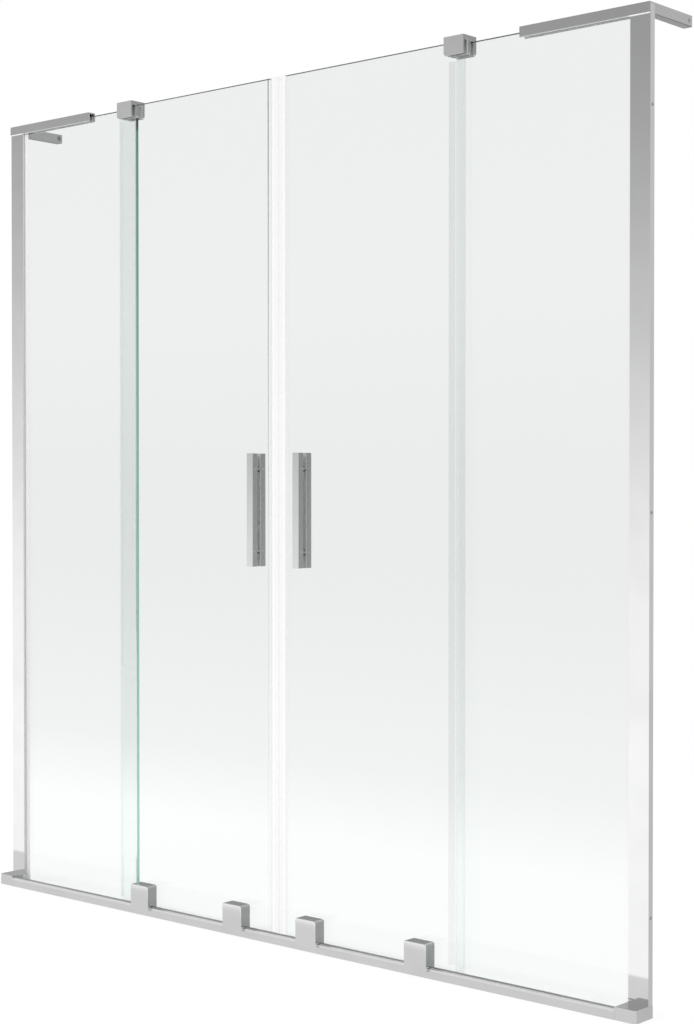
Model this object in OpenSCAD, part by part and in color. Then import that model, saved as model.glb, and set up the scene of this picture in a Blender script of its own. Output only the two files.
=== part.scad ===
// Sliding bath screen: two fixed panes in wall profiles, and two sliding panes that meet in the middle.
// Frame: X along the screen, +Y away from the room and over the bath, +Z up.
// The origin is the centre of the bottom rail's underside. Lengths are in millimetres.

/* [Overall] */
// Distance between the two walls
screen_w = 1480; // [1400:5:1600]
// Height from the bath rim to the top of the braces
screen_h = 1500; // [1300:5:1600]
// Thickness of every pane
glass_t = 6; // [5:0.5:7]
// Top edge of the panes below the top of the braces
glass_drop = 7.5; // [6:0.5:10]

/* [Panes] */
// Rail front to the front face of the sliding panes
slide_plane = 19.5; // [19:0.5:21]
// Rail front to the front face of the fixed panes
fixed_plane = 36; // [36:0.5:38]
// Wall to the free edge of a fixed pane
fixed_reach = 363; // [340:1:390]
// Overlap of a sliding pane and a fixed pane when shut
pane_overlap = 27.5; // [20:0.5:40]
// Gap between the edges of the two sliding panes when shut
meeting_gap = 36; // [32:1:44]
// Lower edge of the sliding panes above the rim
door_lift = 8; // [8:0.5:10]
// Setting blocks under the fixed panes
setting_t = 1.5; // [1:0.5:3]

/* [Bottom rail] */
// Depth of the rail
rail_d = 46; // [46:0.5:52]
// Depth of the hollow front lip
lip_d = 12; // [11:0.5:12.5]
// Height of the front lip
lip_h = 16; // [15:0.5:18]
// Wall thickness of the rail
rail_wall = 1.8; // [1.4:0.1:2.2]
// Thickness of the rail's floor
rail_floor = 2; // [1.5:0.5:3]
// Radius of the bead that the rollers ride on
bead_r = 2; // [1.5:0.25:2.25]
// Height of the two ribs beside a fixed pane
rib_h = 6; // [6:0.5:10]
// Thickness of the inner rib
rib_t = 2; // [1.5:0.5:3]
// Length of an end block
end_l = 38; // [34:1:50]
// Height of an end block
end_h = 20; // [19:0.5:24]
// Vertical corner radius of an end block
end_r = 5; // [2:0.5:8]
// Depth of an end block's dowel pin in the block
pin_in = 20; // [12:1:26]
// Length of the dowel pin in the rail's port
pin_out = 14; // [10:1:20]
// Gap between an end block and the wall
end_setback = 0; // [0:0.5:4]

/* [Wall profiles] */
// Width of a wall profile along the screen
profile_w = 35; // [32:1:45]
// Depth of a wall profile
profile_d = 11.5; // [11:0.25:11.75]
// Wall thickness of a wall profile
profile_wall = 1.6; // [1.2:0.1:1.8]
// How far a fixed pane enters its profile
profile_grip = 20; // [15:1:26]
// Radius of the wall screw holes
wall_hole_r = 2.6; // [2:0.1:3.2]
// Height of the lowest wall screw hole
wall_hole_low = 150; // [100:10:250]
// Highest wall screw hole below the top of the braces
wall_hole_drop = 150; // [100:10:250]
// Width of the gasket bead beside the profile
gasket_w = 3.5; // [2:0.5:5]

/* [Braces] */
// Length of a brace along the glass
brace_long = 235.5; // [160:0.5:300]
// Length of a brace along the wall
brace_short = 119; // [90:1:160]
// Depth of the brace channel
brace_d = 16; // [15.5:0.5:18]
// Height of the brace channel
brace_h = 17; // [15:0.5:22]
// Wall thickness of the brace channel
brace_wall = 2; // [1.6:0.1:2]
// Chamfer along the lower edges of the brace
brace_chamfer = 1.2; // [0.6:0.1:1.4]
// Radius of the hole for the brace's wall screw
brace_hole_r = 2.75; // [2:0.25:3.5]
// Hole centre before the far end of the short leg
brace_hole_inset = 9; // [7:0.5:20]

/* [Top guides] */
// Length of a guide along the screen
guide_w = 40; // [34:1:50]
// Height of a guide
guide_h = 30.5; // [26:0.5:40]
// Guide top above the top of the braces
guide_rise = 2; // [0:0.5:6]
// Overhang of a guide past the fixed pane's free edge
guide_overhang = 9.5; // [4:0.5:14]
// Thickness of a guide's front leg
guide_leg = 3; // [2.5:0.5:4]
// Thickness of a guide's rear leg
guide_rear = 6; // [2.5:0.5:8]
// Radius of a guide's lower corners
guide_r = 6; // [2:0.5:8]
// Thickness of the nylon liner and of the glass pads
liner_t = 1; // [0.8:0.1:1.2]
// Running gap between the liner and the sliding pane
liner_gap = 0.5; // [0.3:0.1:0.8]

/* [Seals] */
// Wall thickness of the clear seals
seal_t = 1; // [0.8:0.1:1.2]
// Length of the clip legs on the glass
seal_leg = 4.5; // [3:0.5:7]
// Upper end of the side seals below the top of the braces
seal_drop = 35; // [34:1:60]
// Side of a magnet strip
magnet_s = 5.8; // [4:0.2:6]
// Reach of the lip on a fixed pane past its glass
lip_reach = 8.5; // [5:0.5:12]
// Reach of the fin on a sliding pane past its glass
fin_reach = 7.5; // [4:0.5:10]

/* [Handles] */
// Length of a handle bar
handle_l = 197; // [120:1:300]
// Width of a handle bar
handle_w = 14.7; // [12:0.1:20]
// Depth of a handle bar
handle_d = 13.2; // [10:0.1:14]
// Edge radius of a handle bar
handle_r = 1.4; // [0.5:0.1:3]
// Handle centre from the meeting edge of its pane
handle_inset = 36.3; // [30:0.1:50]
// Height of the handle centre above the rim
handle_z = 747; // [500:1:900]
// Distance between the two studs of a handle
stud_pitch = 143; // [80:1:160]
// Radius of a handle stud
stud_r = 4; // [3:0.25:4.5]
// Thickness of the gasket under a bar
handle_pad = 0.5; // [0.3:0.1:1]

/* [Roller carriages] */
// Width of a carriage cover
cover_w = 46; // [42:1:60]
// Depth of a carriage cover
cover_d = 22.5; // [20:0.5:24]
// Front of the cover in front of the rail
cover_proud = 6; // [5:0.5:8]
// Top of the cover above the rim
cover_top = 56; // [54:0.5:65]
// Lower edge of the cover's front skirt above the rim
skirt_z = 10; // [6:0.5:13]
// Corner radius of the cover
cover_r = 4; // [1:0.5:6]
// Wall thickness of the cover
cover_wall = 2.2; // [1.6:0.1:2.6]
// Radius of the roller in its groove
roller_r = 9.7; // [9:0.1:11]
// Height of the roller's flanges over the groove
flange_h = 1.5; // [1:0.1:1.7]
// Width of a roller
roller_w = 8; // [7:0.5:9]
// Radius of a roller axle
axle_r = 3; // [2:0.25:3.5]
// Centre of the outer carriage from the outer edge of its pane
outer_inset = 78; // [60:0.5:120]
// Centre of the inner carriage from the meeting edge of its pane
inner_inset = 69.5; // [66:0.5:120]
// Height of the clamp bolt above the rim
clamp_z = 41; // [40:0.5:43]
// Radius of the clamp bolt
clamp_r = 3; // [2.5:0.25:3.5]
// Radius of the boss through the glass
boss_r = 6; // [5:0.25:6.5]
// Radius of the rear cap behind the glass
cap_r = 10; // [9.5:0.5:13.5]
// Thickness of the rear cap
cap_t = 1.5; // [1:0.1:1.6]
// Way that each pane slides open
travel = 290; // [200:1:290]

/* [Hidden] */

$fn = 48;
// Gap between pieces that move past each other
run_gap = 0.3;
// Gap between pieces that fit together
fit_gap = 0.05;
// Overshoot of a cut past the face it leaves by
over = 1;

half_w = screen_w / 2;
rail_front = -rail_d / 2;
slide_y = rail_front + slide_plane;
slide_back = slide_y + glass_t;
fixed_y = rail_front + fixed_plane;
fixed_back = fixed_y + glass_t;
fixed_mid = fixed_y + glass_t / 2;
glass_top = screen_h - glass_drop;
fixed_bottom = rail_floor + setting_t;

fixed_edge = half_w - fixed_reach;
door_outer = fixed_edge + pane_overlap;
door_inner = meeting_gap / 2;
seal_top = screen_h - seal_drop;

rail_half = half_w - end_setback - end_l;
pocket_gap = 0.7;
port_r = 3.2;
port_hole_r = 1.7;
port_z = lip_h / 2;

profile_in = half_w - profile_w;
profile_front = fixed_mid - profile_d / 2;
profile_back = fixed_mid + profile_d / 2;
profile_top = screen_h - brace_wall - fit_gap;
fixed_outer = profile_in + profile_grip;
profile_hook = 0.5;
hook_w = 2;

brace_front = fixed_mid - brace_d / 2;
brace_back = fixed_mid + brace_d / 2;
brace_low = screen_h - brace_h;
brace_in = half_w - brace_long;
brace_leg_w = brace_d;
brace_end_y = brace_front + brace_short;
brace_hole_y = brace_end_y - brace_hole_inset;
brace_hole_z = screen_h - brace_h / 2;
brace_screw_r = 2.5;

guide_in = fixed_edge - guide_overhang;
guide_out = guide_in + guide_w;
guide_top = screen_h + guide_rise;
guide_low = guide_top - guide_h;
guide_front = slide_y - liner_gap - liner_t - guide_leg;
guide_back = fixed_back + liner_t + guide_rear;
guide_slot_top = glass_top + 3 * liner_t;
guide_screw_r = 2.5;

handle_x = door_inner + handle_inset;
stud_hole_r = stud_r + 1;
stud_depth = handle_d - 4;
grub_r = 2;

roller_y = rail_front + lip_d / 2;
roller_z = lip_h + bead_r + run_gap + roller_r;
groove_r = bead_r + 0.6;
cover_front = rail_front - cover_proud;
cover_back = cover_front + cover_d;
cover_side_z = lip_h + bead_r + 2 * run_gap;
cover_ear_z = skirt_z + 4;
cover_ear_back = rail_front - 1;
plate_front = roller_y + roller_w / 2 + 2.8;
plate_back = cover_back;
seat_r = boss_r + 3.5;
plate_w = cover_w - 2 * cover_wall - 2 * fit_gap;
plate_low = cover_side_z + 2.4;
plate_top = cover_top - cover_wall - 1;
foot_w = 24;
foot_front = rail_front + lip_d + 1;
foot_t = 3.2;
foot_low = rail_floor + 3;
head_r = 4.5;
glass_hole_r = boss_r + 2;
outer_x = door_outer - outer_inset;
inner_x = door_inner + inner_inset;
stop_x = outer_x + foot_w / 2 + travel + run_gap;
stop_l = 10;

// Extrudes a section drawn in Y and Z along X
module along_x(x0, x1) {
    translate([x0, 0, 0]) rotate([90, 0, 90]) linear_extrude(x1 - x0) children();
}

// Extrudes a section drawn in X and Z along Y
module along_y(y0, y1) {
    translate([0, y1, 0]) rotate([90, 0, 0]) linear_extrude(y1 - y0) children();
}

// Extrudes a section drawn in X and Y upwards
module upright(z0, z1) {
    translate([0, 0, z0]) linear_extrude(z1 - z0) children();
}

module block(low, high) {
    translate(low) cube(high - low);
}

module rect(low, high) {
    translate(low) square(high - low);
}

module rod_x(x0, x1, y, z, r) {
    translate([x0, y, z]) rotate([0, 90, 0]) cylinder(h = x1 - x0, r = r);
}

module rod_y(x, y0, y1, z, r) {
    translate([x, y0, z]) rotate([-90, 0, 0]) cylinder(h = y1 - y0, r = r);
}

// The part of a corner that lies outside its quarter circle
module corner_waste(corner, inward, r) {
    tip = corner - 0.01 * inward;
    centre = corner + r * inward;
    difference() {
        polygon([tip, [centre.x, tip.y], centre, [tip.x, centre.y]]);
        translate(centre) circle(r);
    }
}

// A rectangle with its own radius at each corner: low left, low right, high right, high left
module soft_rect(low, high, radii) {
    corners = [low, [high.x, low.y], high, [low.x, high.y]];
    inwards = [[1, 1], [-1, 1], [-1, -1], [1, -1]];
    difference() {
        rect(low, high);
        for (i = [0:3]) if (radii[i] > 0) corner_waste(corners[i], inwards[i], radii[i]);
    }
}

// The children as drawn on the right, mirrored to the left
module left_hand() {
    mirror([1, 0, 0]) children();
}

// Section of the bottom rail: hollow lip with bead and screw port, floor, and the ribs of the pane's pocket
module rail_section() {
    pocket_front = fixed_y - pocket_gap;
    pocket_back = fixed_back + pocket_gap;
    port = [roller_y, port_z];
    difference() {
        union() {
            rect([rail_front, 0], [rail_front + lip_d, lip_h]);
            translate([roller_y, lip_h]) circle(bead_r);
        }
        rect([rail_front + rail_wall, rail_wall], [rail_front + lip_d - rail_wall, lip_h - rail_wall]);
    }
    difference() {
        union() {
            translate(port) circle(port_r);
            rect([roller_y - rail_wall / 2, rail_wall / 2], [roller_y + rail_wall / 2, port_z]);
        }
        translate(port) circle(port_hole_r);
    }
    rect([rail_front + lip_d - rail_wall, 0], [rail_front + rail_d, rail_floor]);
    rect([pocket_front - rib_t, 0], [pocket_front, rib_h]);
    rect([pocket_back, 0], [rail_front + rail_d, rib_h]);
}

module bottom_rail() {
    color("gainsboro") along_x(-rail_half, rail_half) rail_section();
}

module rail_end() {
    outer = half_w - end_setback;
    slot_end = fixed_outer + over;
    difference() {
        upright(0, end_h)
            soft_rect([rail_half, rail_front], [outer, rail_front + rail_d], [0, end_r, end_r / 2, 0]);
        block([rail_half - over, fixed_y - pocket_gap, rail_floor],
              [slot_end, fixed_back + pocket_gap, end_h + over]);
        rod_x(rail_half - over, rail_half + pin_in + fit_gap, roller_y, port_z, port_hole_r);
    }
}

module rail_end_right() {
    color("gainsboro") rail_end();
}

module rail_end_left() {
    color("gainsboro") left_hand() rail_end();
}

// Dowel pin that is pressed into the end block and slides into the port of the rail's lip
module rail_end_pin() {
    rod_x(rail_half - pin_out, rail_half + pin_in, roller_y, port_z, port_hole_r - fit_gap);
}

module rail_end_pins() {
    color("silver") {
        rail_end_pin();
        left_hand() rail_end_pin();
    }
}

// A rubber stop in the trough behind the lip, met by the foot of the outer carriage
module door_stop() {
    low_y = rail_front + lip_d + fit_gap;
    along_y(low_y, low_y + foot_t + 1)
        soft_rect([stop_x, rail_floor], [stop_x + stop_l, foot_low + 8], [0, 0, 1.5, 1.5]);
}

module door_stops() {
    color("dimgray") {
        door_stop();
        left_hand() door_stop();
    }
}

module setting_pair() {
    for (x = [fixed_edge + 40, fixed_outer - 60])
        block([x, fixed_y, rail_floor], [x + 30, fixed_back, fixed_bottom]);
}

module setting_blocks() {
    color("dimgray") {
        setting_pair();
        left_hand() setting_pair();
    }
}

// Section of a wall profile: a channel with a small hook inside each leg
module profile_section() {
    difference() {
        rect([profile_in, profile_front], [half_w, profile_back]);
        rect([profile_in + hook_w, profile_front + profile_wall],
             [half_w - profile_wall, profile_back - profile_wall]);
        rect([profile_in - over, profile_front + profile_wall + profile_hook],
             [profile_in + hook_w + over, profile_back - profile_wall - profile_hook]);
    }
}

module wall_profile() {
    holes = [wall_hole_low, (wall_hole_low + screen_h - wall_hole_drop) / 2, screen_h - wall_hole_drop];
    difference() {
        upright(end_h, profile_top) profile_section();
        for (z = holes) rod_x(half_w - profile_wall - over, half_w + over, fixed_mid, z, wall_hole_r);
    }
}

module wall_profile_right() {
    color("gainsboro") wall_profile();
}

module wall_profile_left() {
    color("gainsboro") left_hand() wall_profile();
}

// Section of the clear front gasket: a strip behind the hook and a bead that closes the profile to the glass
module gasket_section() {
    strip_y = profile_front + profile_wall + fit_gap;
    glass_y = fixed_y - fit_gap;
    rect([profile_in + hook_w + fit_gap, strip_y], [profile_in + profile_grip, glass_y]);
    rect([profile_in - gasket_w, strip_y + profile_hook],
         [profile_in + hook_w + over, glass_y]);
    rect([profile_in - gasket_w, profile_front + 0.2], [profile_in - fit_gap, glass_y]);
}

module glazing_gasket() {
    upright(end_h + run_gap, brace_low - run_gap) {
        gasket_section();
        translate([0, 2 * fixed_mid]) mirror([0, 1]) gasket_section();
    }
}

module glazing_gasket_right() {
    color("white", 0.5) glazing_gasket();
}

module glazing_gasket_left() {
    color("white", 0.5) left_hand() glazing_gasket();
}

module fixed_glass() {
    block([fixed_edge, fixed_y, fixed_bottom], [fixed_outer, fixed_back, glass_top]);
}

module fixed_glass_right() {
    color("lightcyan", 0.4) fixed_glass();
}

module fixed_glass_left() {
    color("lightcyan", 0.4) left_hand() fixed_glass();
}

// Clear lip on the front of a fixed pane, sprung towards the back of the sliding pane
module edge_seal() {
    tip_y = slide_back + cap_t + 0.6;
    root_y = fixed_y - seal_t;
    upright(end_h + run_gap, seal_top) {
        rect([fixed_edge, root_y], [fixed_edge + 2 * seal_leg, fixed_y]);
        polygon([
            [fixed_edge + seal_t, root_y + 0.1], [fixed_edge - lip_reach, tip_y + 0.4],
            [fixed_edge - lip_reach + 0.3, tip_y], [fixed_edge + 2.6 * seal_t, root_y + 0.1]
        ]);
    }
}

module edge_seal_right() {
    color("white", 0.5) edge_seal();
}

module edge_seal_left() {
    color("white", 0.5) left_hand() edge_seal();
}

// Section of the brace's long leg: a channel over the glass with chamfered lower edges
module brace_section() {
    c = brace_chamfer;
    difference() {
        polygon([
            [brace_front, brace_low + c], [brace_front, screen_h], [brace_back, screen_h],
            [brace_back, brace_low + c], [brace_back - c, brace_low], [brace_front + c, brace_low]
        ]);
        rect([brace_front + brace_wall, brace_low - over], [brace_back - brace_wall, screen_h - brace_wall]);
    }
}

module top_brace() {
    leg_in = half_w - brace_leg_w;
    c = brace_chamfer;
    difference() {
        union() {
            along_x(brace_in, half_w) brace_section();
            along_y(brace_back - brace_wall, brace_end_y) polygon([
                [leg_in, brace_low + c], [leg_in + c, brace_low], [half_w - c, brace_low],
                [half_w, brace_low + c], [half_w, screen_h], [leg_in, screen_h]
            ]);
        }
        rod_x(leg_in - over, half_w + over, brace_hole_y, brace_hole_z, brace_hole_r);
        rod_x(leg_in - over, leg_in + 3, brace_hole_y, brace_hole_z, brace_hole_r + 2);
        for (x = brace_screw_places)
            rod_y(x, brace_back - brace_wall - over, brace_back + over, brace_hole_z, brace_screw_r);
    }
}

brace_screw_places = [brace_in + 40, profile_in - 40];

module top_brace_right() {
    color("darkgray") top_brace();
}

module top_brace_left() {
    color("darkgray") left_hand() top_brace();
}

// Rubber pads that line the brace's channel on both faces of the glass
module brace_pad_pair() {
    low = brace_low + 2;
    for (side = [[brace_front + brace_wall, fixed_y], [fixed_back, brace_back - brace_wall]])
        block([brace_in + 3, side[0], low], [profile_in - gasket_w, side[1], glass_top]);
}

module brace_pads() {
    color("dimgray") {
        brace_pad_pair();
        left_hand() brace_pad_pair();
    }
}

module brace_screw_pair() {
    for (x = brace_screw_places)
        rod_y(x, brace_back - brace_wall, brace_back - 0.2, brace_hole_z, brace_screw_r - fit_gap);
}

module brace_screws() {
    color("silver") {
        brace_screw_pair();
        left_hand() brace_screw_pair();
    }
}

// Top guide: one slot lets the sliding pane run, the other clamps the fixed pane
module top_guide() {
    run_front = slide_y - liner_gap - liner_t;
    run_back = slide_back + liner_gap + liner_t;
    difference() {
        along_y(guide_front, guide_back)
            soft_rect([guide_in, guide_low], [guide_out, guide_top], [guide_r, guide_r, 1, 1]);
        block([guide_in - over, run_front, guide_low - over], [guide_out + over, run_back, guide_slot_top]);
        block([guide_in - over, fixed_y - liner_t, guide_low - over],
              [guide_out + over, fixed_back + liner_t, guide_slot_top - liner_t]);
        for (x = guide_screw_places)
            rod_y(x, fixed_back, guide_back + over, guide_screw_z, guide_screw_r);
    }
}

guide_screw_places = [fixed_edge + 8, guide_out - 8];
guide_screw_z = (guide_low + glass_top) / 2;

module top_guide_right() {
    color("darkgray") top_guide();
}

module top_guide_left() {
    color("darkgray") left_hand() top_guide();
}

// A sleeve over the top edge of a pane: two cheeks and a roof
module sleeve(x0, x1, front, back, cheek, low, roof) {
    difference() {
        block([x0, front, low], [x1, back, roof]);
        block([x0 - over, front + cheek, low - over], [x1 + over, back - cheek, roof - liner_t]);
    }
}

module guide_liner() {
    sleeve(guide_in + 1, guide_out - 1, slide_y - liner_gap - liner_t + fit_gap,
           slide_back + liner_gap + liner_t - fit_gap, liner_t - fit_gap,
           guide_low + 1, guide_slot_top - fit_gap);
}

module guide_liner_right() {
    color("whitesmoke") guide_liner();
}

module guide_liner_left() {
    color("whitesmoke") left_hand() guide_liner();
}

module guide_pad() {
    sleeve(fixed_edge, guide_out - 1, fixed_y - liner_t, fixed_back + liner_t, liner_t,
           guide_low + 1, guide_slot_top - liner_t);
}

module guide_pads() {
    color("dimgray") {
        guide_pad();
        left_hand() guide_pad();
    }
}

module guide_screw_pair() {
    for (x = guide_screw_places)
        rod_y(x, fixed_back + liner_t, guide_back - 0.3, guide_screw_z, guide_screw_r - fit_gap);
}

module guide_screws() {
    color("silver") {
        guide_screw_pair();
        left_hand() guide_screw_pair();
    }
}

module door_glass() {
    difference() {
        block([door_inner, slide_y, door_lift], [door_outer, slide_back, glass_top]);
        for (x = [inner_x, outer_x]) rod_y(x, slide_y - over, slide_back + over, clamp_z, glass_hole_r);
        for (z = stud_heights) rod_y(handle_x, slide_y - over, slide_back + over, z, stud_hole_r);
    }
}

stud_heights = [handle_z - stud_pitch / 2, handle_z + stud_pitch / 2];

module door_glass_right() {
    color("lightcyan", 0.4) door_glass();
}

module door_glass_left() {
    color("lightcyan", 0.4) left_hand() door_glass();
}

// Section of the magnetic seal: glass clip, hollow neck and the chamber that holds the magnet
module magnetic_section() {
    front = slide_y - seal_t - fit_gap;
    back = slide_back + seal_t + fit_gap;
    face = run_gap / 2;
    magnet_end = face + seal_t + magnet_s + 2 * fit_gap;
    mid = (slide_y + slide_back) / 2;
    chamber = magnet_s / 2 + fit_gap;
    difference() {
        rect([face, front], [door_inner + seal_leg, back]);
        rect([face + seal_t, mid - chamber], [magnet_end, mid + chamber]);
        rect([magnet_end + seal_t, front + seal_t], [door_inner - seal_t, back - seal_t]);
        rect([door_inner - fit_gap, slide_y - fit_gap],
             [door_inner + seal_leg + over, slide_back + fit_gap]);
    }
}

module magnetic_seal_right() {
    color("white", 0.5) upright(door_lift, glass_top) magnetic_section();
}

module magnetic_seal_left() {
    color("white", 0.5) left_hand() upright(door_lift, glass_top) magnetic_section();
}

module magnet_strip() {
    low_x = run_gap / 2 + seal_t + fit_gap;
    mid = (slide_y + slide_back) / 2;
    block([low_x, mid - magnet_s / 2, door_lift + 4], [low_x + magnet_s, mid + magnet_s / 2, glass_top - 4]);
}

module magnet_strip_right() {
    color("saddlebrown") magnet_strip();
}

module magnet_strip_left() {
    color("saddlebrown") left_hand() magnet_strip();
}

// Clear clip on the outer edge of a sliding pane, with a fin that leans back towards the fixed pane
module fin_seal() {
    front = slide_y - seal_t - fit_gap;
    back = slide_back + seal_t + fit_gap;
    fin_y = min(slide_back + 6, profile_front - 1);
    upright(end_h + 2 * run_gap, seal_top) {
        difference() {
            rect([door_outer - seal_leg, front], [door_outer + seal_t + fit_gap, back]);
            rect([door_outer - seal_leg - over, slide_y - fit_gap],
                 [door_outer + fit_gap, slide_back + fit_gap]);
        }
        polygon([
            [door_outer, back - seal_t], [door_outer + seal_t, back - seal_t],
            [door_outer + fin_reach, fin_y - 0.4], [door_outer + fin_reach - 0.5, fin_y]
        ]);
    }
}

module fin_seal_right() {
    color("white", 0.5) fin_seal();
}

module fin_seal_left() {
    color("white", 0.5) left_hand() fin_seal();
}

// Clear drip channel under a sliding pane, with a wiper above the rail's floor
module drip_seal() {
    mid = (slide_y + slide_back) / 2;
    front = slide_y - seal_t - fit_gap;
    back = slide_back + seal_t + fit_gap;
    low = door_lift - seal_t;
    along_x(door_inner + seal_leg + fit_gap, door_outer - seal_leg - fit_gap) {
        difference() {
            rect([front, low], [back, low + 9]);
            rect([slide_y - fit_gap, door_lift - fit_gap], [slide_back + fit_gap, low + 9 + over]);
        }
        rect([mid - seal_t / 2, rail_floor + run_gap], [mid + seal_t / 2, low + seal_t / 2]);
    }
}

module drip_seal_right() {
    color("white", 0.5) drip_seal();
}

module drip_seal_left() {
    color("white", 0.5) left_hand() drip_seal();
}

// A handle bar beside the glass, with blind bores for the studs and tapped holes for their grub screws
module handle_bar(x, y0, y1, mouth) {
    bore_y = mouth > 0 ? [y1 - stud_depth, y1 + over] : [y0 - over, y0 + stud_depth];
    difference() {
        upright(handle_z - handle_l / 2, handle_z + handle_l / 2)
            soft_rect([x - handle_w / 2, y0], [x + handle_w / 2, y1], [for (i = [0:3]) handle_r]);
        for (z = stud_heights) {
            rod_y(x, bore_y[0], bore_y[1], z, stud_r + fit_gap);
            rod_x(x, x + handle_w / 2 + over, (y0 + y1) / 2, z, grub_r);
        }
    }
}

module handle_front(x) {
    handle_bar(x, slide_y - handle_pad - handle_d, slide_y - handle_pad, 1);
}

module handle_back(x) {
    handle_bar(x, slide_back + handle_pad, slide_back + handle_pad + handle_d, -1);
}

module handle_front_right() {
    color("silver") handle_front(handle_x);
}

module handle_front_left() {
    color("silver") handle_front(-handle_x);
}

module handle_back_right() {
    color("silver") handle_back(handle_x);
}

module handle_back_left() {
    color("silver") handle_back(-handle_x);
}

// Studs through the glass, gaskets under the bars and the grub screws that lock the bars
module handle_studs(x) {
    front_mid = slide_y - handle_pad - handle_d / 2;
    back_mid = slide_back + handle_pad + handle_d / 2;
    reach = stud_depth - 1;
    for (z = stud_heights) {
        rod_y(x, slide_y - handle_pad - reach, slide_back + handle_pad + reach, z, stud_r);
        for (y = [front_mid, back_mid])
            rod_x(x + stud_r + fit_gap, x + handle_w / 2 - 0.4, y, z, grub_r - fit_gap);
        for (y = [slide_y - handle_pad, slide_back]) difference() {
            rod_y(x, y, y + handle_pad, z, stud_hole_r + 1.5);
            rod_y(x, y - over, y + handle_pad + over, z, stud_r + fit_gap);
        }
    }
}

module handle_studs_right() {
    color("gray") handle_studs(handle_x);
}

module handle_studs_left() {
    color("gray") handle_studs(-handle_x);
}

// Carriage plate: it carries the roller axle, the seat and boss at the glass and the foot behind the rail's lip
module carriage(x) {
    difference() {
        union() {
            along_y(plate_front, plate_back)
                soft_rect([x - plate_w / 2, plate_low], [x + plate_w / 2, plate_top], [2, 2, cover_r, cover_r]);
            rod_y(x, plate_back - 0.5, slide_y - run_gap, clamp_z, seat_r);
            rod_y(x, plate_back - 0.5, slide_back - run_gap, clamp_z, boss_r);
            along_y(foot_front, foot_front + foot_t)
                soft_rect([x - foot_w / 2, foot_low], [x + foot_w / 2, plate_low + 1], [3, 3, 0, 0]);
        }
        rod_y(x, plate_front - over, plate_back + over, roller_z, axle_r + fit_gap);
        rod_y(x, plate_front + 2, slide_back + over, clamp_z, clamp_r + fit_gap);
    }
}

module carriage_outer_right() {
    color("lightslategray") carriage(outer_x);
}

module carriage_inner_right() {
    color("lightslategray") carriage(inner_x);
}

module carriage_inner_left() {
    color("lightslategray") carriage(-inner_x);
}

module carriage_outer_left() {
    color("lightslategray") carriage(-outer_x);
}

// Carriage cover: a cast cap, open at the back and below, whose front skirt hangs before the rail
module cover(x) {
    w = cover_wall;
    low_x = x - cover_w / 2;
    high_x = x + cover_w / 2;
    difference() {
        intersection() {
            along_y(cover_front, cover_back)
                soft_rect([low_x, skirt_z], [high_x, cover_top], [1, 1, cover_r, cover_r]);
            along_x(low_x - over, high_x + over) cover_side();
        }
        block([low_x + w, cover_front + w, skirt_z - over], [high_x - w, cover_back + over, cover_top - w]);
    }
}

// Side outline of a cover in Y and Z: rounded front top edge, deep front skirt, ear before the rail,
// and a lower edge close above the bead
module cover_side() {
    front_lip = cover_front + cover_wall;
    difference() {
        polygon([
            [cover_front, skirt_z - over], [front_lip, skirt_z - over], [front_lip, cover_ear_z],
            [cover_ear_back, cover_ear_z], [cover_ear_back, cover_side_z], [cover_back, cover_side_z],
            [cover_back, cover_top + over], [cover_front, cover_top + over]
        ]);
        rect([cover_front - over, cover_top], [cover_back + over, cover_top + 2 * over]);
        corner_waste([cover_front, cover_top], [1, -1], 1.5);
    }
}

module cover_outer_right() {
    color("silver") cover(outer_x);
}

module cover_inner_right() {
    color("silver") cover(inner_x);
}

module cover_inner_left() {
    color("silver") cover(-inner_x);
}

module cover_outer_left() {
    color("silver") cover(-outer_x);
}

// Grooved steel roller that rides the rail's bead, turned in one piece about its own axle
module roller(x) {
    flange_r = roller_r + flange_h;
    half = roller_w / 2;
    bore = axle_r + fit_gap;
    translate([x, roller_y, roller_z]) rotate([90, 0, 0]) rotate_extrude() difference() {
        rect([bore, -half], [flange_r, half]);
        translate([roller_r + groove_r, 0]) circle(groove_r);
        rect([axle_r + 1.5, half - 0.6], [flange_r - 3, half + over]);
        rect([axle_r + 1.5, -half - over], [flange_r - 3, 0.6 - half]);
    }
}

module roller_outer_right() {
    color("silver") roller(outer_x);
}

module roller_inner_right() {
    color("silver") roller(inner_x);
}

module roller_inner_left() {
    color("silver") roller(-inner_x);
}

module roller_outer_left() {
    color("silver") roller(-outer_x);
}

// Axle pin: front head, running shaft, shoulder against the plate, and the end fixed in the plate
module axle(x) {
    roller_front = roller_y - roller_w / 2 - run_gap;
    roller_rear = roller_y + roller_w / 2 + run_gap;
    rod_y(x, roller_front - 1.2, plate_back - 0.5, roller_z, axle_r);
    rod_y(x, roller_front - 1.7, roller_front, roller_z, head_r);
    rod_y(x, roller_rear, plate_front, roller_z, head_r);
}

module axles_right() {
    color("silver") for (x = [inner_x, outer_x]) axle(x);
}

module axles_left() {
    color("silver") for (x = [-inner_x, -outer_x]) axle(x);
}

// Clamp set of one carriage: bush in the glass hole, rear cap and countersunk bolt
module clamp_set(x) {
    difference() {
        rod_y(x, slide_y + fit_gap, slide_back - fit_gap, clamp_z, glass_hole_r - fit_gap);
        rod_y(x, slide_y - over, slide_back + over, clamp_z, boss_r + fit_gap);
    }
    difference() {
        rod_y(x, slide_back, slide_back + cap_t, clamp_z, cap_r);
        rod_y(x, slide_back - over, slide_back + cap_t + over, clamp_z, clamp_r + 2);
    }
    rod_y(x, plate_front + 3, slide_back + 0.5, clamp_z, clamp_r);
    rod_y(x, slide_back + 0.1, slide_back + cap_t, clamp_z, clamp_r + 2 - fit_gap);
}

module clamp_sets_right() {
    color("silver") for (x = [inner_x, outer_x]) clamp_set(x);
}

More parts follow.
